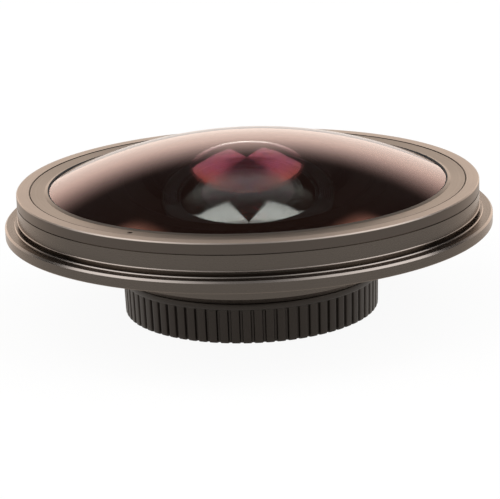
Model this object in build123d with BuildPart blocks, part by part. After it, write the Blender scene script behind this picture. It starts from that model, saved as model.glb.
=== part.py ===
from build123d import *
import math
import os

# A wide-angle front lens that screws onto a camera lens, standing on its ribbed rear cap.
# Millimetres, +Z up along the optical axis, origin at the centre of the cap on the table.

# Clearances shared by all pieces
thread_clearance = 0.05
slip_clearance = 0.1
glass_clearance = 0.1
contact_clearance = 0.02
overrun = 1.0

# Rear mount, with the male thread that fits the camera's lens
thread_radius = 29.0
thread_length = 4.0
thread_lead_in = 0.4
thread_wall = 1.6
relief_width = 0.5
relief_depth = 0.7
shoulder_step = 1.2
shoulder_height = 2.4
mount_plug_step = 0.2
mount_plug_gap = 0.6
mount_flange_width = 1.8
mount_flange_thickness = 0.8
cap_gap = 0.3

# Rear cap
cap_wall = 2.05
cap_draft = 0.2
cap_lip_step = 0.4
cap_lip_height = 1.7
cap_height = 10.2
cap_floor = 1.8
cap_grip_clearance = 0.15
cap_edge = 0.35
rib_count = 72
rib_groove_width = 0.8
rib_groove_depth = 0.6

# Main housing, from the barrel up through the bowl, the flange and the wall
barrel_land = 0.9
barrel_bevel_width = 2.2
barrel_bevel_height = 1.6
barrel_height = 5.1
bowl_inset = 1.0
bowl_wall = 2.4
skirt_height = 11.2
flange_width = 3.3
flange_thickness = 2.9
flange_edge = 0.45
flange_lower_edge = 0.2
step_overhang = 0.1
step_height = 0.45
step_edge = 0.3
neck_depth = 1.3
neck_height = 1.05
bead_height = 0.5
bead_overhang = 0.2
wall_height = 3.95
groove_width = 0.25
groove_depth = 0.4
floor_height = 5.4

# Bezel ring that closes the front of the housing
bezel_height = 2.6
bezel_band = 3.3
bezel_skirt_wall = 1.5
bezel_skirt_height = 2.9
bezel_edge = 0.3
bezel_inner_edge = 0.15

# Front glass, its seat ring, its seal and its retaining ring
front_glass_margin = 1.1
front_ledge_width = 3.4
front_ledge_depth = 1.9
front_edge_thickness = 5.8
front_seat_width = 3.3
front_dome_rise = 11.21
front_dome_sink = 0.41
front_thickness = 5.2
front_bevel_width = 19.3
front_land = 3.1
front_land_gap = 0.9
front_hollow_step = 0.6
seat_ring_thickness = 0.5
seal_thickness = 0.7
seal_gap = 0.3
retainer_gap = 0.7
retainer_fall = 0.15
retainer_recess = 0.1
spanner_hole_radius = 0.65
spanner_hole_depth = 0.8
spanner_angle = 238.5

# Lens cell that carries the second glass and the rear pair
cell_nose_wall = 3.2
cell_rear_wall = 7.2
cell_flange_width = 3.0
cell_flange_thickness = 1.5
cell_mouth_wall = 0.9
cell_mouth_depth = 2.3
cell_web_thickness = 0.9
cell_web_ledge = 1.5
shim_thickness = 0.3

# Second glass and its ring
second_edge_thickness = 6.9
second_dish_depth = 5.5
second_rim_width = 1.2
second_ring_width = 1.0
second_ring_height = 0.5
ring_slot_width = 1.2
ring_slot_depth = 0.3

# Rear pair of cemented glasses, with the stop, spacer and ring that hold them
stop_thickness = 0.3
stop_width = 4.5
spacer_width = 1.4
spacer_height = 0.65
third_dome_rise = 1.8
third_edge_thickness = 0.7
cement_depth = 0.3
cement_gap = 0.02
rear_edge_thickness = 0.8
rear_ring_width = 1.7
rear_ring_height = 0.7
rear_ring_recess = 0.1

# Light baffle: concentric steps down to the second glass
baffle_rim_width = 0.5
baffle_ring_step = 0.2
baffle_step_count = 6

# Screws
cell_screw_radius = 0.6
cell_screw_head_radius = 1.2
cell_screw_head_height = 0.7
cell_screw_length = 4.0
cell_screw_inset = 1.5
cell_screw_count = 3
cell_screw_socket_radius = 0.35
grub_radius = 1.0
grub_recess = 0.58
grub_height = 3.7
grub_count = 3
grub_angle = 90.0
grub_socket_radius = 0.5
grub_socket_depth = 1.0


def sphere_through(edge_radius, depth):
    return (edge_radius ** 2 + depth ** 2) / (2 * depth)


def sag(sphere_radius, radius):
    return sphere_radius - math.sqrt(sphere_radius ** 2 - radius ** 2)


# Radii, worked outwards from the camera's thread size
shoulder_radius = thread_radius + shoulder_step
mount_plug_radius = shoulder_radius + mount_plug_step
mount_flange_radius = mount_plug_radius + mount_flange_width
mount_bore_radius = thread_radius - thread_wall
plug_bore_radius = mount_plug_radius + thread_clearance
barrel_base_radius = mount_flange_radius + barrel_land
barrel_radius = barrel_base_radius + barrel_bevel_width
cell_tube_radius = mount_bore_radius - slip_clearance
cell_flange_radius = plug_bore_radius + cell_flange_width
floor_radius = cell_flange_radius + 2 * slip_clearance
cell_screw_circle = cell_flange_radius - cell_screw_inset
second_bore_radius = cell_tube_radius - cell_nose_wall
second_glass_radius = second_bore_radius - glass_clearance
second_ring_inner_radius = second_glass_radius - second_ring_width
second_dish_radius = second_glass_radius - second_rim_width
cell_mouth_radius = cell_tube_radius - cell_mouth_wall
rear_bore_radius = cell_tube_radius - cell_rear_wall
rear_glass_radius = rear_bore_radius - glass_clearance
cell_web_radius = rear_glass_radius - cell_web_ledge
stop_inner_radius = rear_glass_radius - stop_width
spacer_inner_radius = rear_glass_radius - spacer_width
rear_ring_inner_radius = rear_glass_radius - rear_ring_width
baffle_inner_radius = second_ring_inner_radius + baffle_ring_step
baffle_rim_radius = cell_mouth_radius - baffle_rim_width
front_hollow_edge_radius = cell_tube_radius + front_hollow_step
front_land_radius = front_hollow_edge_radius + front_land
seat_inner_radius = front_land_radius + front_bevel_width
front_glass_radius = seat_inner_radius + front_seat_width
front_bore_radius = front_glass_radius + glass_clearance
front_dome_edge_radius = front_glass_radius - front_ledge_width
seal_inner_radius = front_dome_edge_radius + seal_gap
retainer_inner_radius = front_dome_edge_radius + retainer_gap
bezel_bore_radius = front_glass_radius + front_glass_margin
bezel_skirt_radius = bezel_bore_radius + bezel_skirt_wall
retainer_radius = bezel_bore_radius - thread_clearance
rim_radius = bezel_bore_radius + bezel_band
flange_radius = rim_radius + flange_width
step_radius = rim_radius + step_overhang
neck_radius = rim_radius - neck_depth
bead_radius = rim_radius + bead_overhang
bowl_radius = rim_radius - bowl_inset

# Heights above the table, stacked from the cap to the front glass
cap_top = cap_height
housing_base = cap_top + cap_gap
shoulder_low = housing_base - shoulder_height
thread_high = shoulder_low - relief_width
thread_low = thread_high - thread_length
flange_low = housing_base + skirt_height
flange_top = flange_low + flange_thickness
step_top = flange_top + step_height
neck_top = step_top + neck_height
wall_top = neck_top + wall_height
rim_top = wall_top + bezel_height
floor_top = housing_base + floor_height
cell_flange_low = floor_top + shim_thickness
cell_flange_top = cell_flange_low + cell_flange_thickness
cell_mouth_low = cell_flange_top - cell_mouth_depth
second_edge_top = cell_mouth_low - second_ring_height
second_seat = second_edge_top - second_edge_thickness
web_low = second_seat - cell_web_thickness

# Front glass heights, and the spheres that its dome and its hollow are ground to
dome_edge_height = rim_top - front_dome_sink
front_apex = dome_edge_height + front_dome_rise
front_ledge = rim_top - front_ledge_depth
front_seat = front_ledge - front_edge_thickness
seat_face = front_seat - seat_ring_thickness
hollow_apex = front_apex - front_thickness
front_bottom = cell_flange_top + front_land_gap
front_dome_radius = sphere_through(front_dome_edge_radius, front_dome_rise)
front_hollow_radius = sphere_through(front_hollow_edge_radius, hollow_apex - front_bottom)

# Rear cap: a cup whose ribs taper towards the table and stop at a plain lip
lip_low = cap_top - cap_lip_height
cap_bore_radius = shoulder_radius + cap_grip_clearance
cap_radius = cap_bore_radius + cap_wall
cap_foot_radius = cap_radius - cap_draft
cap_lip_radius = cap_radius + cap_lip_step
with BuildPart() as rear_cap:
    with BuildSketch(Plane.XZ) as cap_profile:
        with BuildLine():
            Polyline(
                (0, 0),
                (cap_foot_radius - cap_edge, 0),
                (cap_foot_radius, cap_edge),
                (cap_radius, lip_low),
                (cap_lip_radius, lip_low + cap_lip_radius - cap_radius),
                (cap_lip_radius, cap_top - cap_edge),
                (cap_lip_radius - cap_edge, cap_top),
                (cap_bore_radius + cap_edge, cap_top),
                (cap_bore_radius, cap_top - cap_edge),
                (cap_bore_radius, cap_floor),
                (0, cap_floor),
                close=True,
            )
        make_face()
    revolve(axis=Axis.Z)
    with BuildSketch(Plane.XY) as groove_profile:
        with PolarLocations(cap_foot_radius - rib_groove_depth, rib_count):
            Rectangle(rib_groove_depth + overrun, rib_groove_width, align=(Align.MIN, Align.CENTER))
    extrude(amount=lip_low, mode=Mode.SUBTRACT)
rear_cap.part.label = "rear_cap"

# Rear mount: thread, relief, shoulder and flange below, and a plug that screws into the barrel
relief_radius = thread_radius - relief_depth
mount_flange_top = housing_base + mount_flange_thickness
mount_plug_top = floor_top - mount_plug_gap
with BuildPart() as rear_mount:
    with BuildSketch(Plane.XZ) as mount_profile:
        with BuildLine():
            Polyline(
                (mount_bore_radius, thread_low),
                (thread_radius - thread_lead_in, thread_low),
                (thread_radius, thread_low + thread_lead_in),
                (thread_radius, thread_high),
                (relief_radius, thread_high),
                (relief_radius, shoulder_low),
                (shoulder_radius, shoulder_low),
                (shoulder_radius, housing_base),
                (mount_flange_radius, housing_base),
                (mount_flange_radius, mount_flange_top),
                (mount_plug_radius, mount_flange_top),
                (mount_plug_radius, mount_plug_top),
                (mount_bore_radius, mount_plug_top),
                close=True,
            )
        make_face()
    revolve(axis=Axis.Z)
rear_mount.part.label = "rear_mount"

# Main housing: one turned shell from the barrel to the wall, hollow for the glass and the cell
barrel_top = housing_base + barrel_height
bowl_rise = flange_low - barrel_top
bowl_centre = (bowl_radius ** 2 - barrel_radius ** 2 + flange_low ** 2 - barrel_top ** 2) / (2 * bowl_rise)
bowl_sphere_radius = math.hypot(bowl_radius, bowl_centre - flange_low)
inner_sphere_radius = bowl_sphere_radius - bowl_wall
bowl_middle_radius = (bowl_radius + barrel_radius) / 2
inner_middle_radius = (seat_inner_radius + floor_radius) / 2


def bowl_height(sphere_radius, radius):
    return bowl_centre - math.sqrt(sphere_radius ** 2 - radius ** 2)


recess_radius = mount_flange_radius + slip_clearance
skirt_bore_radius = bezel_skirt_radius + thread_clearance
skirt_seat = wall_top - bezel_skirt_height - slip_clearance
cell_screw_low = cell_flange_top - cell_screw_length
grub_centre = housing_base + grub_height
grub_tip_radius = mount_plug_radius + contact_clearance
grub_length = barrel_radius - grub_tip_radius - grub_recess
grub_socket_floor = grub_tip_radius + grub_length - grub_socket_depth
with BuildPart() as main_housing:
    with BuildSketch(Plane.XZ) as housing_profile:
        with BuildLine():
            Polyline(
                (plug_bore_radius, floor_top),
                (plug_bore_radius, mount_flange_top),
                (recess_radius, mount_flange_top),
                (recess_radius, housing_base),
                (barrel_base_radius, housing_base),
                (barrel_radius, housing_base + barrel_bevel_height),
                (barrel_radius, barrel_top),
            )
            ThreePointArc(
                (barrel_radius, barrel_top),
                (bowl_middle_radius, bowl_height(bowl_sphere_radius, bowl_middle_radius)),
                (bowl_radius, flange_low),
            )
            Polyline(
                (bowl_radius, flange_low),
                (flange_radius - flange_lower_edge, flange_low),
                (flange_radius, flange_low + flange_lower_edge),
                (flange_radius, flange_top - flange_edge),
                (flange_radius - flange_edge, flange_top),
                (step_radius, flange_top),
                (step_radius, step_top - step_edge),
                (step_radius - step_edge, step_top),
                (neck_radius, step_top),
                (neck_radius, neck_top),
                (rim_radius, neck_top),
            )
            ThreePointArc(
                (rim_radius, neck_top),
                (bead_radius, neck_top + bead_height / 2),
                (rim_radius, neck_top + bead_height),
            )
            Polyline(
                (rim_radius, neck_top + bead_height),
                (rim_radius, wall_top - groove_width),
                (rim_radius - groove_depth, wall_top - groove_width),
                (rim_radius - groove_depth, wall_top),
                (skirt_bore_radius, wall_top),
                (skirt_bore_radius, skirt_seat),
                (front_bore_radius, skirt_seat),
                (front_bore_radius, seat_face),
                (seat_inner_radius, seat_face),
                (seat_inner_radius, bowl_height(inner_sphere_radius, seat_inner_radius)),
            )
            ThreePointArc(
                (seat_inner_radius, bowl_height(inner_sphere_radius, seat_inner_radius)),
                (inner_middle_radius, bowl_height(inner_sphere_radius, inner_middle_radius)),
                (floor_radius, bowl_height(inner_sphere_radius, floor_radius)),
            )
            Polyline(
                (floor_radius, bowl_height(inner_sphere_radius, floor_radius)),
                (floor_radius, floor_top),
                (plug_bore_radius, floor_top),
            )
        make_face()
    revolve(axis=Axis.Z)
    with BuildSketch(Plane.XY.offset(floor_top)) as cell_screw_holes:
        with PolarLocations(cell_screw_circle, cell_screw_count):
            Circle(cell_screw_radius + thread_clearance)
    extrude(amount=cell_screw_low - thread_clearance - floor_top, mode=Mode.SUBTRACT)
    with PolarLocations(plug_bore_radius - thread_clearance, grub_count, start_angle=grub_angle):
        with Locations((0, 0, grub_centre)):
            Cylinder(
                grub_radius + thread_clearance,
                barrel_radius - plug_bore_radius + overrun,
                rotation=(0, 90, 0),
                align=(Align.CENTER, Align.CENTER, Align.MIN),
                mode=Mode.SUBTRACT,
            )
main_housing.part.label = "main_housing"

# Bezel ring: the outer band of the front face, with a threaded skirt inside the wall
with BuildPart() as front_bezel_ring:
    with BuildSketch(Plane.XZ) as bezel_profile:
        with BuildLine():
            Polyline(
                (bezel_bore_radius, wall_top - bezel_skirt_height),
                (bezel_skirt_radius, wall_top - bezel_skirt_height),
                (bezel_skirt_radius, wall_top),
                (rim_radius, wall_top),
                (rim_radius, rim_top - bezel_edge),
                (rim_radius - bezel_edge, rim_top),
                (bezel_bore_radius + bezel_inner_edge, rim_top),
                (bezel_bore_radius, rim_top - bezel_inner_edge),
                close=True,
            )
        make_face()
    revolve(axis=Axis.Z)
front_bezel_ring.part.label = "front_bezel_ring"

# Front glass: a large meniscus with a ground ledge that its retaining ring bears on
front_arc_radius = front_dome_edge_radius / 2
hollow_arc_radius = front_hollow_edge_radius / 2
with BuildPart() as front_element:
    with BuildSketch(Plane.XZ) as front_profile:
        with BuildLine():
            ThreePointArc(
                (0, front_apex),
                (front_arc_radius, front_apex - sag(front_dome_radius, front_arc_radius)),
                (front_dome_edge_radius, dome_edge_height),
            )
            Polyline(
                (front_dome_edge_radius, dome_edge_height),
                (front_dome_edge_radius, front_ledge),
                (front_glass_radius, front_ledge),
                (front_glass_radius, front_seat),
                (seat_inner_radius, front_seat),
                (front_land_radius, front_bottom),
                (front_hollow_edge_radius, front_bottom),
            )
            ThreePointArc(
                (front_hollow_edge_radius, front_bottom),
                (hollow_arc_radius, hollow_apex - sag(front_hollow_radius, hollow_arc_radius)),
                (0, hollow_apex),
            )
            Line((0, hollow_apex), (0, front_apex))
        make_face()
    revolve(axis=Axis.Z)
front_element.part.label = "front_element"

# Seat ring: a thin pad between the front glass and the housing's shoulder
with BuildPart() as front_seat_ring:
    with BuildSketch(Plane.XY.offset(seat_face)):
        Circle(front_glass_radius)
        Circle(seat_inner_radius, mode=Mode.SUBTRACT)
    extrude(amount=seat_ring_thickness)
front_seat_ring.part.label = "front_seat_ring"

# Seal ring: black rubber on the glass's ledge, under the retaining ring
seal_top = front_ledge + seal_thickness
with BuildPart() as front_seal_ring:
    with BuildSketch(Plane.XY.offset(front_ledge)):
        Circle(front_glass_radius)
        Circle(seal_inner_radius, mode=Mode.SUBTRACT)
    extrude(amount=seal_thickness)
front_seal_ring.part.label = "front_seal_ring"

# Retaining ring: the inner band of the front face, with two holes for a pin spanner
retainer_top = rim_top - retainer_recess
retainer_middle = (retainer_inner_radius + retainer_radius) / 2
with BuildPart() as front_retaining_ring:
    with BuildSketch(Plane.XZ) as retainer_profile:
        with BuildLine():
            Polyline(
                (retainer_inner_radius, seal_top),
                (retainer_radius, seal_top),
                (retainer_radius, retainer_top - bezel_inner_edge),
                (retainer_radius - bezel_inner_edge, retainer_top),
                (retainer_inner_radius, retainer_top - retainer_fall),
                close=True,
            )
        make_face()
    revolve(axis=Axis.Z)
    with BuildSketch(Plane.XY.offset(retainer_top)) as spanner_holes:
        with PolarLocations(retainer_middle, 2, start_angle=spanner_angle):
            Circle(spanner_hole_radius)
    extrude(amount=-spanner_hole_depth, mode=Mode.SUBTRACT)
front_retaining_ring.part.label = "front_retaining_ring"

# Rear stack heights, from the cell's web down to the ring that closes the cell
stop_low = web_low - stop_thickness
spacer_low = stop_low - spacer_height
third_dome_radius = sphere_through(rear_glass_radius, third_dome_rise)
cement_radius = sphere_through(rear_glass_radius, cement_depth)
third_apex = spacer_low - contact_clearance + sag(third_dome_radius, spacer_inner_radius)
third_edge_top = third_apex - third_dome_rise
cement_edge = third_edge_top - third_edge_thickness
cement_apex = cement_edge - cement_depth
rear_face = cement_edge - rear_edge_thickness
cell_low = rear_face - rear_ring_height - rear_ring_recess

# Lens cell: a flanged tube with a wide mouth in front and a web between the second glass and the rear pair
with BuildPart() as lens_cell:
    with BuildSketch(Plane.XZ) as cell_profile:
        with BuildLine():
            Polyline(
                (rear_bore_radius, cell_low),
                (cell_tube_radius, cell_low),
                (cell_tube_radius, cell_flange_low),
                (cell_flange_radius, cell_flange_low),
                (cell_flange_radius, cell_flange_top),
                (cell_mouth_radius, cell_flange_top),
                (cell_mouth_radius, cell_mouth_low),
                (second_bore_radius, cell_mouth_low),
                (second_bore_radius, second_seat),
                (cell_web_radius, second_seat),
                (cell_web_radius, web_low),
                (rear_bore_radius, web_low),
                close=True,
            )
        make_face()
    revolve(axis=Axis.Z)
    with Locations(Plane.XY.offset(cell_flange_top)):
        with PolarLocations(cell_screw_circle, cell_screw_count):
            CounterSinkHole(
                cell_screw_radius + thread_clearance,
                cell_screw_head_radius + thread_clearance,
                depth=cell_flange_thickness,
            )
lens_cell.part.label = "lens_cell"

# Shim: a thin ring under the cell's flange that sets the air space in front of the second glass
with BuildPart() as cell_shim:
    with BuildSketch(Plane.XY.offset(floor_top)):
        Circle(cell_flange_radius)
        Circle(plug_bore_radius, mode=Mode.SUBTRACT)
        with PolarLocations(cell_screw_circle, cell_screw_count):
            Circle(cell_screw_radius + slip_clearance, mode=Mode.SUBTRACT)
    extrude(amount=shim_thickness)
cell_shim.part.label = "cell_shim"

# Cell screws: three countersunk screws through the flange and the shim into the housing
countersink_drop = cell_screw_head_radius - cell_screw_radius
with BuildPart() as cell_screws:
    with BuildSketch(Plane.XY.offset(cell_screw_low)):
        with PolarLocations(cell_screw_circle, cell_screw_count):
            Circle(cell_screw_radius)
    extrude(amount=cell_screw_length)
    with PolarLocations(cell_screw_circle, cell_screw_count):
        with Locations((0, 0, cell_flange_top)):
            Cone(
                cell_screw_radius,
                cell_screw_head_radius,
                countersink_drop,
                align=(Align.CENTER, Align.CENTER, Align.MAX),
            )
    with BuildSketch(Plane.XY.offset(cell_flange_top)):
        with PolarLocations(cell_screw_circle, cell_screw_count):
            RegularPolygon(cell_screw_socket_radius, 6)
    extrude(amount=-cell_screw_head_height, mode=Mode.SUBTRACT)
cell_screws.part.label = "cell_screws"

# Grub screws: three set screws through the barrel that lock the rear mount's thread
with BuildPart() as mount_grub_screws:
    with PolarLocations(grub_tip_radius, grub_count, start_angle=grub_angle):
        with Locations((0, 0, grub_centre)):
            Cylinder(
                grub_radius,
                grub_length,
                rotation=(0, 90, 0),
                align=(Align.CENTER, Align.CENTER, Align.MIN),
            )
    with PolarLocations(grub_socket_floor, grub_count, start_angle=grub_angle):
        with Locations((0, 0, grub_centre)):
            Cylinder(
                grub_socket_radius,
                grub_socket_depth + overrun,
                rotation=(0, 90, 0),
                align=(Align.CENTER, Align.CENTER, Align.MIN),
                mode=Mode.SUBTRACT,
            )
mount_grub_screws.part.label = "mount_grub_screws"

# Second glass: dished in front and flat behind, seated on the cell's web
second_dish_low = second_edge_top - second_dish_depth
second_dish_sphere = sphere_through(second_dish_radius, second_dish_depth)
second_arc_radius = second_dish_radius / 2
with BuildPart() as second_element:
    with BuildSketch(Plane.XZ) as second_profile:
        with BuildLine():
            ThreePointArc(
                (0, second_dish_low),
                (second_arc_radius, second_dish_low + sag(second_dish_sphere, second_arc_radius)),
                (second_dish_radius, second_edge_top),
            )
            Polyline(
                (second_dish_radius, second_edge_top),
                (second_glass_radius, second_edge_top),
                (second_glass_radius, second_seat),
                (0, second_seat),
                (0, second_dish_low),
            )
        make_face()
    revolve(axis=Axis.Z)
second_element.part.label = "second_element"

# Second ring: threaded into the cell over the second glass's rim, with two spanner slots
with BuildPart() as second_retaining_ring:
    with BuildSketch(Plane.XY.offset(second_edge_top)):
        Circle(second_bore_radius - thread_clearance)
        Circle(second_ring_inner_radius, mode=Mode.SUBTRACT)
    extrude(amount=second_ring_height)
    with BuildSketch(Plane.XY.offset(cell_mouth_low)) as second_ring_slots:
        with PolarLocations(second_ring_inner_radius, 2):
            Rectangle(second_ring_width, ring_slot_width)
    extrude(amount=-ring_slot_depth, mode=Mode.SUBTRACT)
second_retaining_ring.part.label = "second_retaining_ring"

# Field stop: a thin black disc against the web, which trims stray light
with BuildPart() as field_stop:
    with BuildSketch(Plane.XY.offset(stop_low)):
        Circle(rear_glass_radius)
        Circle(stop_inner_radius, mode=Mode.SUBTRACT)
    extrude(amount=stop_thickness)
field_stop.part.label = "field_stop"

# Spacer: holds the rear pair away from the stop
with BuildPart() as rear_spacer_ring:
    with BuildSketch(Plane.XY.offset(spacer_low)):
        Circle(rear_glass_radius)
        Circle(spacer_inner_radius, mode=Mode.SUBTRACT)
    extrude(amount=spacer_height)
rear_spacer_ring.part.label = "rear_spacer_ring"

# Third glass: the front half of the cemented pair
rear_arc_radius = rear_glass_radius / 2
with BuildPart() as third_element:
    with BuildSketch(Plane.XZ) as third_profile:
        with BuildLine():
            ThreePointArc(
                (0, third_apex),
                (rear_arc_radius, third_apex - sag(third_dome_radius, rear_arc_radius)),
                (rear_glass_radius, third_edge_top),
            )
            Line((rear_glass_radius, third_edge_top), (rear_glass_radius, cement_edge))
            ThreePointArc(
                (rear_glass_radius, cement_edge),
                (rear_arc_radius, cement_apex + sag(cement_radius, rear_arc_radius)),
                (0, cement_apex),
            )
            Line((0, cement_apex), (0, third_apex))
        make_face()
    revolve(axis=Axis.Z)
third_element.part.label = "third_element"

# Rear glass: the back half of the pair, flat behind
with BuildPart() as rear_element:
    with BuildSketch(Plane.XZ) as rear_profile:
        with BuildLine():
            ThreePointArc(
                (0, cement_apex - cement_gap),
                (rear_arc_radius, cement_apex - cement_gap + sag(cement_radius, rear_arc_radius)),
                (rear_glass_radius, cement_edge - cement_gap),
            )
            Polyline(
                (rear_glass_radius, cement_edge - cement_gap),
                (rear_glass_radius, rear_face),
                (0, rear_face),
                (0, cement_apex - cement_gap),
            )
        make_face()
    revolve(axis=Axis.Z)
rear_element.part.label = "rear_element"

# Rear ring: threaded into the back of the cell against the rear glass, with two spanner slots
with BuildPart() as rear_retaining_ring:
    with BuildSketch(Plane.XY.offset(rear_face)):
        Circle(rear_bore_radius - thread_clearance)
        Circle(rear_ring_inner_radius, mode=Mode.SUBTRACT)
    extrude(amount=-rear_ring_height)
    with BuildSketch(Plane.XY.offset(rear_face - rear_ring_height)) as rear_ring_slots:
        with PolarLocations(rear_ring_inner_radius, 2):
            Rectangle(rear_ring_width, ring_slot_width)
    extrude(amount=ring_slot_depth, mode=Mode.SUBTRACT)
rear_retaining_ring.part.label = "rear_retaining_ring"

# Light baffle: a black funnel in the cell's mouth, with concentric steps down to the second glass
baffle_tread = (baffle_rim_radius - baffle_inner_radius) / baffle_step_count
baffle_drop = cell_mouth_depth / baffle_step_count
baffle_steps = []
for step in range(baffle_step_count):
    step_radius_now = baffle_rim_radius - step * baffle_tread
    baffle_steps.append((step_radius_now, cell_flange_top - step * baffle_drop))
    baffle_steps.append((step_radius_now, cell_flange_top - (step + 1) * baffle_drop))
baffle_outer_radius = cell_mouth_radius - thread_clearance
with BuildPart() as light_baffle:
    with BuildSketch(Plane.XZ) as baffle_profile:
        with BuildLine():
            Polyline(
                (baffle_outer_radius, cell_mouth_low),
                (baffle_outer_radius, cell_flange_top),
                *baffle_steps,
                close=True,
            )
        make_face()
    revolve(axis=Axis.Z)
light_baffle.part.label = "light_baffle"

pieces = [
    rear_cap,
    rear_mount,
    main_housing,
    front_bezel_ring,
    front_element,
    front_seat_ring,
    front_seal_ring,
    front_retaining_ring,
    lens_cell,
    cell_shim,
    cell_screws,
    mount_grub_screws,
    second_element,
    second_retaining_ring,
    field_stop,
    rear_spacer_ring,
    third_element,
    rear_element,
    rear_retaining_ring,
    light_baffle,
]
os.makedirs("parts", exist_ok=True)
for piece in pieces:
    export_step(piece.part, "parts/" + piece.part.label + ".step")
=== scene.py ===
import math

import bpy
import numpy as np
from mathutils import Matrix, Vector


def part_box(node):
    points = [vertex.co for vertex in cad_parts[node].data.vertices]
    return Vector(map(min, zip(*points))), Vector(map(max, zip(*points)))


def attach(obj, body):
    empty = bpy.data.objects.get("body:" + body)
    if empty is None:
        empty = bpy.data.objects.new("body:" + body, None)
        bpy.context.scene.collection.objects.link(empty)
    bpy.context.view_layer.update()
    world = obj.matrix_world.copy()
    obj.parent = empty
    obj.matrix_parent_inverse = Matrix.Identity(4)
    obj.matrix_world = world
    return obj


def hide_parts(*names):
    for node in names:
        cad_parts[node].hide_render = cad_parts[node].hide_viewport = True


# A wide-angle front lens with a domed glass, standing on its ribbed rear cap.
# Every length is in metres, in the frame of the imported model, with +Z along the optical axis.
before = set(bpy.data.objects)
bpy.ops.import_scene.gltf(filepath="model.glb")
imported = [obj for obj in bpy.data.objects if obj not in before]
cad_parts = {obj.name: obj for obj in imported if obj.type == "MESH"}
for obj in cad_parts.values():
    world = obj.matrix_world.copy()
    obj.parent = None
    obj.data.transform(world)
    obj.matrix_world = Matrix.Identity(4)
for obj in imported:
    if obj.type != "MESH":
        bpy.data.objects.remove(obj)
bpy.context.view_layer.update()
mm = 0.001

# Camera: a portrait-length lens half a metre from the glass, looking down at it by 16 degrees.
# It leans by 2 degrees, so that the right side of the rim stands higher.
camera_place = Vector((0, -506.0 * mm, 160.9 * mm))
camera_aim = Vector((0, 0, 14.34 * mm))
camera_lean = math.radians(-2.118)
camera_data = bpy.data.cameras.new("camera")
camera_data.sensor_width = 36.0
camera_data.lens = 149.3
camera = bpy.data.objects.new("camera", camera_data)
bpy.context.scene.collection.objects.link(camera)
looking = (camera_aim - camera_place).to_track_quat("-Z", "Y").to_matrix()
turned_camera = looking @ Matrix.Rotation(camera_lean, 3, "Z")
camera.matrix_world = Matrix.Translation(camera_place) @ turned_camera.to_4x4()
bpy.context.scene.camera = camera
bpy.context.scene.view_settings.view_transform = "Standard"


class Wire:
    """One socket of a node tree. Sums, products and powers of wires and numbers add Math nodes."""

    def __init__(self, tree, socket=None):
        self.tree = tree
        self.socket = socket

    def node(self, kind, settings=None, sockets=None, out=0):
        """Adds a node of this kind, sets its settings first, then its sockets, and returns one output."""
        made = self.tree.nodes.new(kind)
        for name, value in (settings or {}).items():
            setattr(made, name, value)
        for name, value in (sockets or {}).items():
            if isinstance(value, Wire):
                self.tree.links.new(value.socket, made.inputs[name])
            else:
                made.inputs[name].default_value = value
        return Wire(self.tree, made.outputs[out] if made.outputs else None)

    def maths(self, operation, *values):
        sockets = dict(enumerate(values))
        return self.node("ShaderNodeMath", {"operation": operation}, sockets)

    def __add__(self, other):
        return self.maths("ADD", self, other)

    def __radd__(self, other):
        return self.maths("ADD", other, self)

    def __sub__(self, other):
        return self.maths("SUBTRACT", self, other)

    def __rsub__(self, other):
        return self.maths("SUBTRACT", other, self)

    def __mul__(self, other):
        return self.maths("MULTIPLY", self, other)

    def __rmul__(self, other):
        return self.maths("MULTIPLY", other, self)

    def __truediv__(self, other):
        return self.maths("DIVIDE", self, other)

    def __rtruediv__(self, other):
        return self.maths("DIVIDE", other, self)

    def __pow__(self, other):
        return self.maths("POWER", self, other)


def fade(wire, start, end, first=0.0, last=1.0):
    """A smooth step of the wire: the first value up to start, the last value from end on."""
    span = {"Value": wire, "From Min": start, "From Max": end, "To Min": first, "To Max": last}
    return wire.node("ShaderNodeMapRange", {"interpolation_type": "SMOOTHSTEP"}, span)


def blend(share, first, second):
    """A mix of two colours or wires: the first where the share is 0, the second where it is 1."""
    first, second = (ink if isinstance(ink, Wire) else (*ink, 1.0) for ink in (first, second))
    inks = {"Factor": share, "A": first, "B": second}
    return share.node("ShaderNodeMix", {"data_type": "RGBA"}, inks, out="Result")


# Studio: low warm paper behind, and over it two leaning soft panels, left and right, with a gap behind.
# The world's brightness follows only its direction, so the light stays put when the view changes.
white = (1.0, 1.0, 1.0)
paper_warm = (1.0, 0.89, 0.80)
paper_level = 1.6
paper_height, ceiling_height = 0.20, 0.52
ceiling_grey = 0.05
paper_side, paper_back = math.cos(math.radians(80)), math.cos(math.radians(45))
panel_strength = 2.3
panel_low, panel_full = 0.02, 0.12
gap_edge, gap_full = math.cos(math.radians(24)), math.cos(math.radians(35))
front_start, front_end = math.cos(math.radians(120)), math.cos(math.radians(160))
front_share = 0.25
lean_full, lean_edge = 0.86, 1.10
lean_slope, lean_reach = 0.45, 1.5
slot_edge, slot_full = 0.1, 0.9
slot_spread = 6.0
slot_share = 0.45
least_rise = 0.02
least_level = 0.0001
world = bpy.data.worlds.new("studio")
world.use_nodes = True
world.node_tree.nodes.clear()
sky = Wire(world.node_tree)
direction = sky.node("ShaderNodeTexCoord", out="Generated")
x, y, z = (sky.node("ShaderNodeSeparateXYZ", sockets={0: direction}, out=axis) for axis in "XYZ")
level = sky.maths("MAXIMUM", (x * x + y * y) ** 0.5, least_level)
behind = y / level
paper = fade(z, paper_height, ceiling_height, paper_level, 0.0) * fade(behind, paper_side, paper_back)
rise = sky.maths("MAXIMUM", z, least_rise)
sideways = sky.maths("ABSOLUTE", x)
leaning = y / rise + lean_slope * sky.maths("MINIMUM", sideways / rise, lean_reach)
aside = (sideways + slot_spread * sky.maths("MAXIMUM", y, 0.0)) / rise
panel = fade(behind, gap_edge, gap_full) * fade(behind, front_start, front_end, 1.0, front_share)
panel = panel * fade(leaning, lean_edge, lean_full) * fade(z, panel_low, panel_full)
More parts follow.
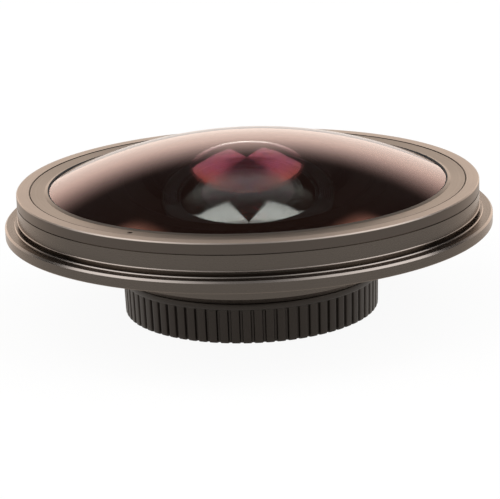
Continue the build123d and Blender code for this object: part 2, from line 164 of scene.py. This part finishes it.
panel = panel * fade(aside, slot_edge, slot_full, slot_share, 1.0)
brightness = paper + ceiling_grey + panel_strength * panel
light = blend(fade(z, paper_height, ceiling_height), paper_warm, white)
studio = sky.node("ShaderNodeBackground", sockets={"Color": light, "Strength": brightness})
backdrop = sky.node("ShaderNodeBackground", sockets={"Color": (*white, 1.0), "Strength": 1.0})
seen_directly = sky.node("ShaderNodeLightPath", out="Is Camera Ray")
background = sky.node("ShaderNodeMixShader", sockets={0: seen_directly, 1: studio, 2: backdrop})
sky.node("ShaderNodeOutputWorld", sockets={"Surface": background})
bpy.context.scene.world = world

# Floor: the white paper that the lens stands on. Part of its light is its own, for the rays that see it,
# so that it stays white, and the rest comes from the studio, so that it keeps the lens's shadow.
floor_reach = 3.0
floor_white = (0.95, 0.95, 0.95)
mirrored_white = (1.0, 0.93, 0.87)
floor_glow = 0.93
floor_material = bpy.data.materials.new("floor_paper")
floor_material.use_nodes = True
floor_material.node_tree.nodes.clear()
sheet = Wire(floor_material.node_tree)
lit = sheet.node("ShaderNodeBsdfDiffuse", sockets={"Color": (*floor_white, 1.0)})
seen = sheet.node("ShaderNodeLightPath", out="Is Camera Ray")
mirrored = sheet.node("ShaderNodeLightPath", out="Is Glossy Ray")
refracted = sheet.node("ShaderNodeLightPath", out="Is Transmission Ray")
glow_colour = blend(mirrored, white, mirrored_white)
glow = sheet.node("ShaderNodeEmission", sockets={"Color": glow_colour, "Strength": 1.0})
share = floor_glow * sheet.maths("MAXIMUM", sheet.maths("MAXIMUM", seen, mirrored), refracted)
mixed = sheet.node("ShaderNodeMixShader", sockets={0: share, 1: lit, 2: glow})
sheet.node("ShaderNodeOutputMaterial", sockets={"Surface": mixed})
floor_mesh = bpy.data.meshes.new("floor")
corner_signs = [(-1, -1), (1, -1), (1, 1), (-1, 1)]
corners = [(floor_reach * along, floor_reach * across, 0) for along, across in corner_signs]
floor_mesh.from_pydata(corners, [], [(0, 1, 2, 3)])
floor = bpy.data.objects.new("floor", floor_mesh)
floor.data.materials.append(floor_material)
bpy.context.scene.collection.objects.link(floor)


def finish(name):
    """A new empty node material, and the wire that its nodes start from."""
    material = bpy.data.materials.new(name)
    material.use_nodes = True
    material.node_tree.nodes.clear()
    return material, Wire(material.node_tree)


def cover(tree, shader):
    """Makes this shader the surface of the material."""
    tree.node("ShaderNodeOutputMaterial", sockets={"Surface": shader})


def dress(material, *nodes):
    """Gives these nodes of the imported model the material."""
    for node in nodes:
        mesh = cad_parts[node].data
        mesh.materials.clear()
        mesh.materials.append(material)


def noise(tree, scale, detail):
    """Noise over the piece's own coordinates."""
    place = tree.node("ShaderNodeTexCoord", out="Object")
    return tree.node("ShaderNodeTexNoise", sockets={"Vector": place, "Scale": scale, "Detail": detail})


def relief(height, strength, depth):
    """The surface's normal where this height raises it by up to the depth."""
    return height.node("ShaderNodeBump", sockets={"Height": height, "Strength": strength, "Distance": depth})


def section_place(tree):
    """The place of a point in the turned section, as its radius and its height in millimetres."""
    place = tree.node("ShaderNodeTexCoord", out="Object")
    x, y, z = (tree.node("ShaderNodeSeparateXYZ", sockets={0: place}, out=axis) for axis in "XYZ")
    return (x * x + y * y) ** 0.5 / mm, z / mm


def anodised(name, colour, roughness, tool_pitch, turning=0.55, face=None, joint_shade=None):
    """Turned aluminium, anodised dark. The marks of the turning tool are noise over radius and height,
    which is constant round the axis. A slow cloud over the surface varies the dye and the sheen. A face
    is a colour and the height that it starts at, and a joint shade is the radius of a black line of painted
    shade."""
    paler_dye = 1.22
    mark_share, cloud_share = 0.55, 0.45
    face_edge = 0.2
    joint_shade_half, joint_shade_edge = 0.10, 0.26
    joint_shade_black = (0.01, 0.009, 0.008)
    grain_height = 0.12
    mark_sheen, cloud_sheen = 0.10, 0.08
    warm_glance = (1.0, 0.92, 0.86, 1.0)
    material, tree = finish(name)
    radius, height = section_place(tree)
    section = tree.node("ShaderNodeCombineXYZ", sockets={"X": radius / tool_pitch, "Y": height / tool_pitch})
    turning_marks = {"Vector": section, "Scale": 1.0, "Detail": 3.0}
    marks = tree.node("ShaderNodeTexNoise", {"noise_dimensions": "2D"}, turning_marks)
    cloud = noise(tree, 45.0, 3.0)
    grain = noise(tree, 5200.0, 1.0)
    paler = tuple(paler_dye * part for part in colour)
    dye = blend(mark_share * marks + cloud_share * cloud, colour, paler)
    if face:
        face_colour, face_height = face
        dye = blend(fade(height, face_height - face_edge, face_height), dye, face_colour)
    # The black line at the joint is painted shade: it stands for the shadow in the gap between the rings.
    if joint_shade:
        in_joint_shade = fade(tree.maths("ABSOLUTE", radius - joint_shade), joint_shade_half, joint_shade_edge, 1.0, 0.0)
        dye = blend(in_joint_shade, dye, joint_shade_black)
    metal = {
        "Base Color": dye,
        "Metallic": 1.0,
        "Roughness": roughness + mark_sheen * (marks - 0.5) + cloud_sheen * (cloud - 0.5),
        "Anisotropic": turning,
        "Anisotropic Rotation": 0.25,
        "Specular Tint": warm_glance,
        "Normal": relief(marks + grain_height * grain, 0.5, 0.012 * mm),
    }
    cover(tree, tree.node("ShaderNodeBsdfPrincipled", sockets=metal))
    return material


# Bezel ring: the outer band of the front face, turned from aluminium and screwed into the housing.
# Its wall is anodised dark and its face is paler. A fine black line of painted shade, in the gap at the
# joint, parts it from the retaining ring.
face_roughness, face_turning = 0.33, 0.1
bezel_face = ((0.36, 0.31, 0.275), 32.5)
# Radii of the black line of painted shade in the gap between the bezel ring and the retaining ring.
bezel_joint_shade, ring_joint_shade = 54.7, 54.65
bezel_dye = (0.074, 0.065, 0.058)
bezel_finish = (bezel_dye, face_roughness, 0.20, face_turning)
bezel_metal = anodised("bezel_anodised", *bezel_finish, face=bezel_face, joint_shade=bezel_joint_shade)
dress(bezel_metal, "front_bezel_ring")

# Retaining ring: the inner band, screwed in over the glass's ledge. Two small holes take a pin spanner.
# It is a separate turning of the same aluminium, a little darker than the bezel ring's face.
ring_dye = (0.22, 0.19, 0.165)
ring_finish = (ring_dye, face_roughness, 0.18, face_turning)
ring_metal = anodised("retaining_ring_anodised", *ring_finish, joint_shade=ring_joint_shade)
dress(ring_metal, "front_retaining_ring")

# Seal ring: a flat ring of black rubber in the gap between the front glass and its retaining ring.
# It is cut from sheet, so its face is matte with a fine grain.
rubber_black = (0.006, 0.006, 0.006, 1.0)
rubber, tree = finish("black_rubber")
grain = noise(tree, 2600.0, 3.0)
matte = {
    "Base Color": rubber_black,
    "Roughness": 0.62 + 0.2 * grain,
    "Normal": relief(grain, 0.4, 0.02 * mm),
}
cover(tree, tree.node("ShaderNodeBsdfPrincipled", sockets=matte))
dress(rubber, "front_seal_ring")


def black_paint(name, colour, sheen):
    """Matte black coat over turned metal or ground glass, with fine speckle in its colour and relief."""
    paler_speck = 1.8
    material, tree = finish(name)
    speckle = noise(tree, 1800.0, 4.0)
    paint = {
        "Base Color": blend(speckle, colour, tuple(paler_speck * part for part in colour)),
        "Roughness": 0.75,
        "Specular IOR Level": sheen,
        "Normal": relief(speckle, 0.4, 0.02 * mm),
    }
    cover(tree, tree.node("ShaderNodeBsdfPrincipled", sockets=paint))
    return material


# Field stop, spacer and rear ring: turned from the same stock as the cell, and blackened with it.
# The stop and the spacer lie loose in the cell's bore, and the threaded ring holds them and the rear pair.
blackened = black_paint("blackened_metal", (0.009, 0.0085, 0.008), 0.3)
dress(blackened, "field_stop", "rear_spacer_ring", "rear_retaining_ring")

# Seat ring: a thin ring of black film between the front glass and the shoulder of the housing.
# It is stamped from sheet and laid in, so that the glass doesn't bear on bare metal.
dress(black_paint("seat_film", (0.02, 0.02, 0.02), 0.4), "front_seat_ring")

# Shim: a thin ring of bright rolled brass under the cell's flange, which sets the air space of the glasses.
# The cell's screws pass through it. The rolling leaves streaks in one direction.
brass_yellow = (0.68, 0.50, 0.22, 1.0)
rolling = (40.0, 900.0, 900.0)
brass, tree = finish("shim_brass")
place = tree.node("ShaderNodeTexCoord", out="Object")
rolled = tree.node("ShaderNodeMapping", sockets={"Vector": place, "Scale": rolling})
streaks = tree.node("ShaderNodeTexNoise", sockets={"Vector": rolled, "Scale": 2.0, "Detail": 4.0})
bright = {"Base Color": brass_yellow, "Metallic": 1.0, "Roughness": 0.22 + 0.2 * streaks}
cover(tree, tree.node("ShaderNodeBsdfPrincipled", sockets=bright))
dress(brass, "cell_shim")

# Screws: three countersunk ones in the cell's flange and three headless ones for the rear mount.
# They are cut from steel and chemically blackened, which leaves a slightly uneven sheen.
steel_black = (0.05, 0.048, 0.046, 1.0)
steel, tree = finish("blackened_steel")
dark = {"Base Color": steel_black, "Metallic": 1.0, "Roughness": 0.3 + 0.2 * noise(tree, 3000.0, 3.0)}
cover(tree, tree.node("ShaderNodeBsdfPrincipled", sockets=dark))
dress(steel, "cell_screws", "mount_grub_screws")

turned_columns = 288


def wrapped(name, radius, height, kinds, materials, sharp):
    """Surface round the axis: row i and column j are the point (r cos a, r sin a, z), where r and z are
    radius[i, j] and height[i, j] and the angle a takes equal steps of a full turn with j. A row of radius 0
    is one point on the axis. Strip i, between rows i and i + 1, has the material kinds[i]. Edges that turn by
    more than the sharp angle, in degrees, stay crisp."""
    rows, around = radius.shape
    angle = np.linspace(0, 2 * math.pi, around, endpoint=False)
    grid = np.stack([radius * np.cos(angle), radius * np.sin(angle), height], axis=2)
    on_axis = radius[:, 0] == 0
    sizes = np.where(on_axis, 1, around)
    starts = np.concatenate([[0], np.cumsum(sizes)[:-1]])
    points = np.concatenate([row[:size] for row, size in zip(grid, sizes)])
    column = np.arange(around)
    number = starts[:, None] + np.where(on_axis[:, None], 0, column)
    upper, lower = number[:-1], number[1:]
    quads = np.stack([upper, lower, np.roll(lower, -1, axis=1), np.roll(upper, -1, axis=1)], axis=2)
    faces = []
    for strip, at_top, at_foot in zip(quads, on_axis[:-1], on_axis[1:]):
        corners = [0, 1, 2] if at_top else [0, 1, 3] if at_foot else [0, 1, 2, 3]
        faces += strip[:, corners].tolist()
    mesh = bpy.data.meshes.new(name)
    mesh.from_pydata(points, [], faces)
    for material in materials:
        mesh.materials.append(material)
    mesh.polygons.foreach_set("material_index", np.repeat(kinds, around))
    mesh.polygons.foreach_set("use_smooth", [True] * len(faces))
    mesh.set_sharp_from_angle(angle=math.radians(sharp))
    mesh.update()
    piece = bpy.data.objects.new(name, mesh)
    bpy.context.scene.collection.objects.link(piece)
    return piece


def turned(name, profile, kinds, materials):
    """Surface of revolution of a profile of (radius, height) points, which is closed or starts and ends on
    the axis. Each point of the profile becomes a circle round the axis."""
    profile = np.asarray(profile, float)
    radius, height = np.repeat(profile.T[:, :, None], turned_columns, axis=2)
    return wrapped(name, radius, height, kinds, materials, sharp=12)


def spherical(edge_radius, middle, edge, steps=64):
    """Profile of a ground sphere from the axis, at height middle, to the edge radius at height edge."""
    depth = middle - edge
    sphere = (edge_radius ** 2 + depth ** 2) / (2 * depth)
    swing = np.linspace(0, math.asin(edge_radius / abs(sphere)), steps + 1)
    radius = abs(sphere) * np.sin(swing)
    radius[0] = 0
    return np.stack([radius, middle - sphere * (1 - np.cos(swing))], axis=1)


# Main housing: one aluminium shell from the barrel to the wall of the rim, turned and anodised brown-grey.
# Its bead and edges have a paler colour, which is a painted highlight over the bright lines that their shape
# already reflects. The holes for its screws are left out here: the solid has them.
low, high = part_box("main_housing")
barrel_radius, barrel_top = 35.3 * mm, 15.6 * mm
bowl_radius, flange_low = 57.0 * mm, 21.7 * mm
flange_top, flange_edge = 24.6 * mm, 0.45 * mm
step_radius, step_top, step_edge = 58.9 * mm, 24.9 * mm, 0.2 * mm
neck_radius = 56.7 * mm
wall_radius, wall_low, wall_top = 58.0 * mm, 25.75 * mm, 30.05 * mm
bead_height, bead_overhang = 0.5 * mm, 0.2 * mm
groove_width, groove_depth = 0.25 * mm, 0.4 * mm
skirt_radius, skirt_seat = 56.25 * mm, 27.05 * mm
glass_bore, glass_seat, seat_inner = 53.7 * mm, 24.45 * mm, 50.3 * mm
floor_radius, floor_top = 33.65 * mm, 15.9 * mm
plug_bore, recess_top, recess_radius = 30.45 * mm, 11.3 * mm, 32.3 * mm
base_radius, bevel_top = 33.1 * mm, 12.1 * mm
bowl_wall = 2.4 * mm
outer_bowl_points, inner_bowl_points, bead_points = 40, 24, 9
bowl_span = bowl_radius ** 2 - barrel_radius ** 2 + flange_low ** 2 - barrel_top ** 2
bowl_centre = bowl_span / (2 * (flange_low - barrel_top))
bowl_sphere = math.hypot(bowl_radius, bowl_centre - flange_low)
outer_run = np.linspace(bowl_radius, barrel_radius, outer_bowl_points)
outer_bowl = np.stack([outer_run, bowl_centre - np.sqrt(bowl_sphere ** 2 - outer_run ** 2)], axis=1)
inner_run = np.linspace(floor_radius, seat_inner, inner_bowl_points)
inner_sphere = bowl_sphere - bowl_wall
inner_bowl = np.stack([inner_run, bowl_centre - np.sqrt(inner_sphere ** 2 - inner_run ** 2)], axis=1)
swell = np.linspace(0, math.pi, bead_points)
bead_radius = wall_radius + bead_overhang * np.sin(swell)
bead = np.stack([bead_radius, wall_low + bead_height * (1 + np.cos(swell)) / 2], axis=1)
upper = [
    (skirt_radius, wall_top),
    (wall_radius - groove_depth, wall_top),
    (wall_radius - groove_depth, wall_top - groove_width),
    (wall_radius, wall_top - groove_width),
]
neck = [(neck_radius, wall_low), (neck_radius, step_top)]
step = [(step_radius - step_edge, step_top), (step_radius, step_top - step_edge), (step_radius, flange_top)]
flange = [
    (high.x - flange_edge, flange_top),
    (high.x, flange_top - flange_edge),
    (high.x, flange_low + flange_edge / 2),
    (high.x - flange_edge / 2, flange_low),
]
foot = [
    (barrel_radius, bevel_top),
    (base_radius, low.z),
    (recess_radius, low.z),
    (recess_radius, recess_top),
    (plug_bore, recess_top),
    (plug_bore, floor_top),
    (floor_radius, floor_top),
]
inside = [
    (seat_inner, glass_seat),
    (glass_bore, glass_seat),
    (glass_bore, skirt_seat),
    (skirt_radius, skirt_seat),
]
profile = np.concatenate([upper, bead, neck, step, flange, outer_bowl, foot, inner_bowl, inside, upper[:1]])
bead_start = len(upper)
step_start = bead_start + len(bead) + len(neck)
flange_start = step_start + len(step)
kinds = np.zeros(len(profile) - 1, int)
kinds[bead_start:bead_start + len(bead) - 1] = 1
kinds[[step_start, flange_start]] = 1
body_dye, body_roughness = (0.085, 0.076, 0.068), 0.27
housing_metal = anodised("housing_anodised", body_dye, body_roughness, 0.22)
# The paler colour of the bead and edges is a painted highlight, added on top of their real reflections.
edge_highlight_metal = anodised("housing_edges_painted_highlight", (0.25, 0.22, 0.20), 0.24, 0.22)
housing = turned("turned_housing", profile, kinds, [housing_metal, edge_highlight_metal])
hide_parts("main_housing")
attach(housing, "lens")

# Lip: the inner edge of the retaining ring, turned thin, standing a little over the edge of the dome.
# It is part of the same ring, and its inner side is blackened.
lip_inner, lip_crest, lip_outer = 49.75 * mm, 50.15 * mm, 50.95 * mm
lip_top, lip_foot = 32.70 * mm, 32.44 * mm
lip_under, lip_low = 32.48 * mm, 32.1 * mm
lip_root = 0.2 * mm
lip_profile = [
    (lip_crest, lip_top),
    (lip_outer, lip_foot),
    (lip_outer, lip_low),
    (lip_crest + lip_root, lip_low),
    (lip_inner, lip_under),
    (lip_crest, lip_top),
]
lip = turned("retaining_ring_lip", lip_profile, [0, 0, 1, 1, 1], [ring_metal, rubber])
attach(lip, "lens")


def coated_glass(name, index, strength, inner, outer=None, radii=None, plain=1.0, even=True):
    """Polished glass with a coating, which is a clear mirror over the glass. The coating has one colour, or
    changes from the inner to the outer one between two radii in millimetres. It has an even strength, or
    fades where it is seen at a slant."""
    steep, slant = 0.15, 0.27
    slant_share = 0.01
    material, tree = finish(name)
    clear = {
        "Base Color": (*white, 1.0),
        "Roughness": 0.0,
        "IOR": index,
        "Transmission Weight": 1.0,
        "Specular Tint": (*[plain * part ** 2 for part in outer or inner], 1.0),
    }
    glass = tree.node("ShaderNodeBsdfPrincipled", sockets=clear)
    if strength:
        colour = (*inner, 1.0)
        if outer:
            radius, height = section_place(tree)
            colour = blend(fade(radius, *radii), inner, outer)
        if not even:
            facing = tree.node("ShaderNodeLayerWeight", sockets={"Blend": 0.5}, out="Facing")
            strength = fade(facing, steep, slant, strength, slant_share)
        mirror = {"Base Color": colour, "Metallic": 1.0, "Roughness": 0.0}
        coating = tree.node("ShaderNodeBsdfPrincipled", sockets=mirror)
        glass = tree.node("ShaderNodeMixShader", sockets={0: strength, 1: glass, 2: coating})
    cover(tree, glass)
    return material


# Front glass: a large thick meniscus, domed in front and deeply hollow behind, polished on both.
# Its ledge, edge, long bevel and rear land are ground and painted black, and its coating is pinkish.
front_index = 1.7
dome_pink = (1.0, 0.38, 0.20)
hollow_magenta, hollow_orange = (0.85, 0.24, 0.50), (1.1, 0.34, 0.24)
hollow_change = (15.0, 23.0)
dome_glass = coated_glass("dome_glass", front_index, 0.075, dome_pink)
hollow_glass = coated_glass("hollow_glass", front_index, 0.065, hollow_magenta, hollow_orange, hollow_change)
edge_paint = black_paint("edge_paint", (0.007, 0.0055, 0.005), 0.0)
low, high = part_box("front_element")
dome_edge_radius, dome_edge_height = 50.2 * mm, 32.24 * mm
ledge_height = 30.75 * mm
seat_height, seat_radius = 24.95 * mm, 50.3 * mm
land_radius = 31.0 * mm
hollow_radius = 27.9 * mm
front_thickness = 5.2 * mm
dome = spherical(dome_edge_radius, high.z, dome_edge_height)
hollow = spherical(hollow_radius, high.z - front_thickness, low.z)[::-1]
ground = [
    (dome_edge_radius, ledge_height),
    (high.x, ledge_height),
    (high.x, seat_height),
    (seat_radius, seat_height),
    (land_radius, low.z),
]
strips = [0] * (len(dome) - 1) + [1] * (len(ground) + 1) + [2] * (len(hollow) - 1)
profile = np.concatenate([dome, ground, hollow])
front = turned("front_glass", profile, strips, [dome_glass, edge_paint, hollow_glass])
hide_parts("front_element")
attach(front, "lens")

# Second glass: a thick glass behind the hollow with a shallow dome, clamped at its rim in the cell.
# Its dome mirrors the studio's two panels in pale wedges. Its edge is painted black and its back is flat.
second_index = 1.8
second_cream = (1.0, 0.80, 0.73)
domed_glass = coated_glass("second_dome_glass", second_index, 0.25, second_cream, plain=0.04, even=False)
back_glass = coated_glass("second_back_glass", second_index, 0.0, second_cream, plain=0.02)
low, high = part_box("second_element")
second_apex, second_rise = 12.0 * mm, 2.2 * mm
domed = spherical(high.x, second_apex, second_apex - second_rise)
back = [(high.x, low.z), (0, low.z)]
strips = [0] * (len(domed) - 1) + [1, 2]
second = turned("second_glass", np.concatenate([domed, back]), strips, [domed_glass, edge_paint, back_glass])
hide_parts("second_element")
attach(second, "lens")

# Second ring: the thin threaded ring on the rim of the second glass, turned and blackened, with two slots.
# The slots take a flat-bladed spanner.
ring_inner_radius, ring_radius = 23.0 * mm, 24.05 * mm
ring_low, ring_high = 10.0 * mm, 10.5 * mm
ring_edge = 0.08 * mm
slot_half_width, slot_depth = 0.7 * mm, 0.3 * mm
edge_cut = 0.7
ring = np.array([
    (ring_inner_radius + ring_edge, ring_high, 1),
    (ring_radius, ring_high, 1),
    (ring_radius, ring_low, 0),
    (ring_inner_radius, ring_low, 0),
    (ring_inner_radius, ring_high - ring_edge, edge_cut),
    (ring_inner_radius + ring_edge, ring_high, 1),
])
around_ring = np.linspace(0, 2 * math.pi, turned_columns, endpoint=False)
in_slot = np.abs(ring_inner_radius * np.sin(around_ring)) < slot_half_width
slotted = ring[:, 1:2] - slot_depth * ring[:, 2:3] * in_slot
wide = np.repeat(ring[:, 0:1], turned_columns, axis=1)
second_ring = wrapped("second_ring", wide, slotted, [0] * (len(ring) - 1), [blackened], sharp=12)
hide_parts("second_retaining_ring")
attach(second_ring, "lens")

# Light baffle: a black funnel with eight concentric steps in the flared mouth of the cell, painted matte.
# The steps catch the stray light that the front glass sends past the second one.
mouth_radius, mouth_foot_radius = 27.65 * mm, 24.1 * mm
mouth_top, mouth_low = 17.7 * mm, 12.7 * mm
baffle_rim, baffle_gap = 0.65 * mm, 0.05 * mm
baffle_steps = 8
stair = np.arange(baffle_steps)[::-1]
tread = (mouth_radius - mouth_foot_radius) / baffle_steps
drop = (mouth_top - mouth_low) / baffle_steps
stair_radius = mouth_radius - baffle_rim - stair * tread
stair_foot = np.stack([stair_radius, mouth_top - (stair + 1) * drop], axis=1)
stair_head = np.stack([stair_radius, mouth_top - stair * drop], axis=1)
stairs = np.stack([stair_foot, stair_head], axis=1).reshape(-1, 2)
cone = [(mouth_radius - baffle_gap, mouth_top), (mouth_foot_radius - baffle_gap, mouth_low)]
profile = np.concatenate([cone, stairs, cone[:1]])
baffle = turned("stepped_baffle", profile, [0] * (len(profile) - 1), [blackened])
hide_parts("light_baffle")
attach(baffle, "lens")

# Lens cell: the flanged tube that carries the second glass and the rear pair, turned and blackened.
# Its mouth is flared for the baffle. The flange is let down a little under the heads of its screws, whose
# holes are left out here: the solid has them.
low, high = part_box("lens_cell")
cell_tube = 27.3 * mm
cell_flange_low = 16.2 * mm
seat_top, web_low = 8.0 * mm, 7.1 * mm
rear_bore, web_radius = 20.1 * mm, 18.5 * mm
head_land, head_recess = 30.4 * mm, 0.05 * mm
profile = [
    (mouth_radius, high.z),
    (head_land, high.z),
    (head_land, high.z - head_recess),
    (high.x, high.z - head_recess),
    (high.x, cell_flange_low),
    (cell_tube, cell_flange_low),
    (cell_tube, low.z),
    (rear_bore, low.z),
    (rear_bore, web_low),
    (web_radius, web_low),
    (web_radius, seat_top),
    (mouth_foot_radius, seat_top),
    (mouth_foot_radius, mouth_low),
    (mouth_radius, high.z),
]
cell = turned("flared_cell", profile, [0] * (len(profile) - 1), [blackened])
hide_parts("lens_cell")
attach(cell, "lens")

# Rear pair: two glasses cemented together, modelled as one body because the cemented face doesn't show.
# The front face is domed and coated violet, the rear face is flat, and the edge is painted black.
third_index = 1.6
third_violet, third_pink = (0.62, 0.25, 1.0), (1.0, 0.25, 0.5)
third_change = (3.0, 10.0)
third_glass = coated_glass("third_glass", third_index, 0.02, third_violet, third_pink, third_change, 0.03)
rear_glass = coated_glass("rear_glass", third_index, 0.0, third_violet, plain=0.02)
low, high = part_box("third_element")
rear_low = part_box("rear_element")[0]
third_rise = 1.8 * mm
domed = spherical(high.x, high.z, high.z - third_rise)
back = [(high.x, rear_low.z), (0, rear_low.z)]
strips = [0] * (len(domed) - 1) + [1, 2]
pair = turned("rear_pair_glass", np.concatenate([domed, back]), strips, [third_glass, edge_paint, rear_glass])
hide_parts("third_element", "rear_element")
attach(pair, "lens")

# Rear mount: the ring with the male thread for the camera's lens, screwed into the barrel.
# The thread is cut on a lathe, 0.75 mm a turn, and runs out at both of its ends.
low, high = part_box("rear_mount")
thread_radius = 29.0 * mm
thread_pitch, thread_depth = 0.75 * mm, 0.46 * mm
thread_low, thread_high = 3.6 * mm, 7.6 * mm
thread_run_out = 0.4 * mm
thread_rows, thread_columns = 65, 360
flank_slope, crest_flat = 2.4, 0.1
relief_radius = 28.3 * mm
shoulder_low, shoulder_radius = 8.1 * mm, 30.2 * mm
mount_base, mount_flange_top = 10.5 * mm, 11.3 * mm
plug_radius = 30.4 * mm
mount_bore = 27.4 * mm
mount_edge = 0.15 * mm
turns = np.arange(thread_columns) / thread_columns
thread_height = np.linspace(thread_high, thread_low, thread_rows)
phase = np.mod(thread_height[:, None] / thread_pitch - turns, 1.0)
crest = np.clip(flank_slope * np.abs(phase - 0.5) - crest_flat, 0.0, 1.0)
to_end = np.minimum(thread_height - thread_low, thread_high - thread_height)
fullness = np.clip(to_end / thread_run_out, 0.0, 1.0)[:, None]
threaded = thread_radius - thread_depth * (crest * fullness + (1.0 - fullness))
above = np.array([
    (mount_bore, high.z),
    (plug_radius - mount_edge, high.z),
    (plug_radius, high.z - mount_edge),
    (plug_radius, mount_flange_top),
    (high.x - mount_edge, mount_flange_top),
    (high.x, mount_flange_top - mount_edge),
    (high.x, mount_base),
    (shoulder_radius, mount_base),
    (shoulder_radius, shoulder_low + mount_edge),
    (shoulder_radius - mount_edge, shoulder_low),
    (relief_radius, shoulder_low),
    (relief_radius, thread_high),
])
below = np.array([(mount_bore, low.z), (mount_bore, high.z)])
above_radius, above_height = np.repeat(above.T[:, :, None], thread_columns, axis=2)
below_radius, below_height = np.repeat(below.T[:, :, None], thread_columns, axis=2)
thread_heights = np.repeat(thread_height[:, None], thread_columns, axis=1)
radius = np.concatenate([above_radius, threaded, below_radius])
height = np.concatenate([above_height, thread_heights, below_height])
mount_metal = anodised("mount_anodised", body_dye, body_roughness, 0.20)
mount = wrapped("rear_mount_ring", radius, height, [0] * (len(radius) - 1), [mount_metal], sharp=20)
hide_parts("rear_mount")
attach(mount, "lens")

# Rear cap: a cup moulded in black plastic, pushed on over the mount's shoulder, with 72 grip ribs.
# The ribs are broad and flat with narrow grooves between them, and they stop at a plain lip.
low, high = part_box("rear_cap")
rib_count, columns_per_rib = 72, 12
rib_groove_half, rib_groove_shoulder = 0.40 * mm, 0.22 * mm
rib_groove_depth, rib_crown = 0.6 * mm, 0.05 * mm
cap_radius, cap_foot_radius = 32.4 * mm, 32.2 * mm
cap_edge = 0.35 * mm
cap_lip_low, cap_lip_step = 8.5 * mm, 0.4 * mm
lip_step_in, lip_step_up = 0.4, 0.35
rib_start = 0.3 * mm
cap_bore, cap_floor = 30.35 * mm, 1.8 * mm
cap_corner = 0.5 * mm
cap_recess_radius, cap_recess_depth = 25.0 * mm, 0.2 * mm
gate_radius, gate_height = 1.2 * mm, 0.12 * mm
wall_shares = np.linspace(0.1, 0.9, 9)
column = np.arange(rib_count * columns_per_rib)
pitch = 2 * math.pi * cap_radius / rib_count
from_groove = np.abs(np.mod(column / columns_per_rib + 0.5, 1.0) - 0.5) * pitch
dip = np.clip((rib_groove_half + rib_groove_shoulder / 2 - from_groove) / rib_groove_shoulder, 0.0, 1.0)
dip = dip * dip * (3 - 2 * dip)
crowning = rib_crown * np.clip(np.abs(from_groove * 2 / pitch - 1.0), 0.0, 1.0) ** 2
ribbed = rib_groove_depth * dip + crowning * (1.0 - dip)
wall_rows = np.stack([
    cap_radius + wall_shares * (cap_foot_radius - cap_radius),
    cap_lip_low + wall_shares * (cap_edge - cap_lip_low),
    np.ones(len(wall_shares)),
], axis=1)
rows = [
    (0, cap_floor, 0),
    (cap_bore - cap_corner, cap_floor, 0),
    (cap_bore - cap_corner / 3, cap_floor + cap_corner / 3, 0),
    (cap_bore, cap_floor + cap_corner, 0),
    (cap_bore, high.z - cap_edge, 0),
    (cap_bore + cap_edge / 3, high.z - cap_edge / 3, 0),
    (cap_bore + cap_edge, high.z, 0),
    (high.x - cap_edge, high.z, 0),
    (high.x - cap_edge / 3, high.z - cap_edge / 3, 0),
    (high.x, high.z - cap_edge, 0),
    (high.x, cap_lip_low + cap_lip_step, 0),
    (high.x - cap_lip_step * lip_step_in, cap_lip_low + cap_lip_step * lip_step_up, 0),
    (cap_radius, cap_lip_low, 0),
    (cap_radius, cap_lip_low - rib_start, 1),
    *wall_rows,
    (cap_foot_radius, cap_edge, 1),
    (cap_foot_radius - cap_edge / 3, cap_edge / 3, 1),
    (cap_foot_radius - cap_edge, 0, 1),
    (cap_foot_radius - 3 * cap_edge, 0, 0),
    (cap_recess_radius + cap_recess_depth, 0, 0),
    (cap_recess_radius, cap_recess_depth, 0),
    (2 * gate_radius, cap_recess_depth, 0),
    (gate_radius, cap_recess_depth - gate_height, 0),
    (0, cap_recess_depth - gate_height, 0),
]
rows = np.array(rows)
radius = rows[:, 0:1] - rows[:, 2:3] * ribbed
height = np.repeat(rows[:, 1:2], len(column), axis=1)
plastic, tree = finish("cap_plastic")
grain = noise(tree, 1500.0, 4.0)
cloud = noise(tree, 60.0, 3.0)
moulded = {
    "Base Color": blend(cloud, (0.0085, 0.0070, 0.0058), (0.0135, 0.0112, 0.0092)),
    "Roughness": 0.38 + 0.12 * cloud,
    "Specular IOR Level": 0.36,
    "Specular Tint": (1.0, 0.92, 0.86, 1.0),
    "Normal": relief(grain, 0.5, 0.02 * mm),
}
cover(tree, tree.node("ShaderNodeBsdfPrincipled", sockets=moulded))
cap = wrapped("ribbed_cap", radius, height, [0] * (len(radius) - 1), [plastic], sharp=35)
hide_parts("rear_cap")
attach(cap, "cap")
